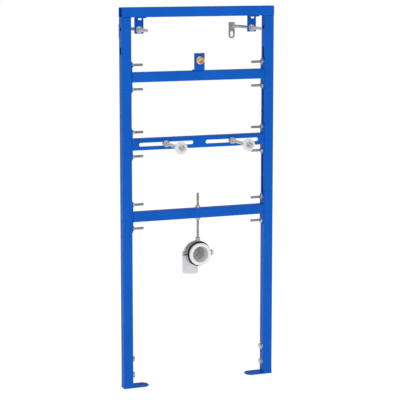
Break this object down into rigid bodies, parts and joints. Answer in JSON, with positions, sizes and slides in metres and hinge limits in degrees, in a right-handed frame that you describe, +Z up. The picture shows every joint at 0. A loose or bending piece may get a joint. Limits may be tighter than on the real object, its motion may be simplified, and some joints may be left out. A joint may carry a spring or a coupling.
{
  "type": "urinal installation frame",
  "caption": "Tube-steel installation frame for a wall-hung urinal, with bolted crossbars, wall rods, bowl studs, a brass water connection and a drain elbow in a pipe clamp.",
  "frame": {"origin": "on the floor, under the axis of the left upright, on the underside of the left foot", "axes": "+X to the right along the frame, +Y back towards the wall, +Z up; the bowl studs and the drain socket face -Y"},
  "size_m": [0.5, 0.331, 1.17],
  "materials": {
    "blue_coat": "smooth blue powder coat, semi-gloss",
    "zinc": "bright zinc plating",
    "brass": "machined brass",
    "white_plastic": "moulded white plastic, semi-gloss",
    "white_seal": "soft white rubber",
    "black_rubber": "matt black rubber"
  },
  "bodies": {
    "root": {"left_upright": "blue_coat", "right_upright": "blue_coat", "top_bar": "blue_coat", "upper_crossbar": "blue_coat", "upper_end_plates": "blue_coat", "stud_crossbar": "blue_coat", "stud_end_plates": "blue_coat", "lower_crossbar": "blue_coat", "lower_end_plates": "blue_coat", "left_slot_bolts": "zinc", "right_slot_bolts": "zinc", "left_slot_nuts": "zinc", "right_slot_nuts": "zinc", "left_foot": "blue_coat", "right_foot": "blue_coat", "left_foot_bolts": "zinc", "right_foot_bolts": "zinc", "foot_washers": "zinc", "left_hanger_bracket": "blue_coat", "right_hanger_bracket": "blue_coat", "left_wall_rod": "zinc", "right_wall_rod": "zinc", "wall_rod_nuts": "zinc", "wall_rod_washers": "zinc", "left_wall_bracket": "zinc", "right_wall_bracket": "zinc", "left_stud": "zinc", "right_stud": "zinc", "stud_nuts": "zinc", "stud_washers": "zinc", "left_stud_sleeve": "white_plastic", "right_stud_sleeve": "white_plastic", "inlet_bracket": "blue_coat", "inlet_fitting": "brass", "inlet_lock_nut": "brass", "drain_rod": "zinc", "drain_rod_nuts": "zinc", "drain_rod_washers": "zinc", "clamp_upper_half": "zinc", "clamp_lower_half": "zinc", "clamp_lining": "black_rubber", "clamp_screws": "zinc", "drain_elbow": "white_plastic", "drain_seal": "white_seal"}
  },
  "joints": []
}
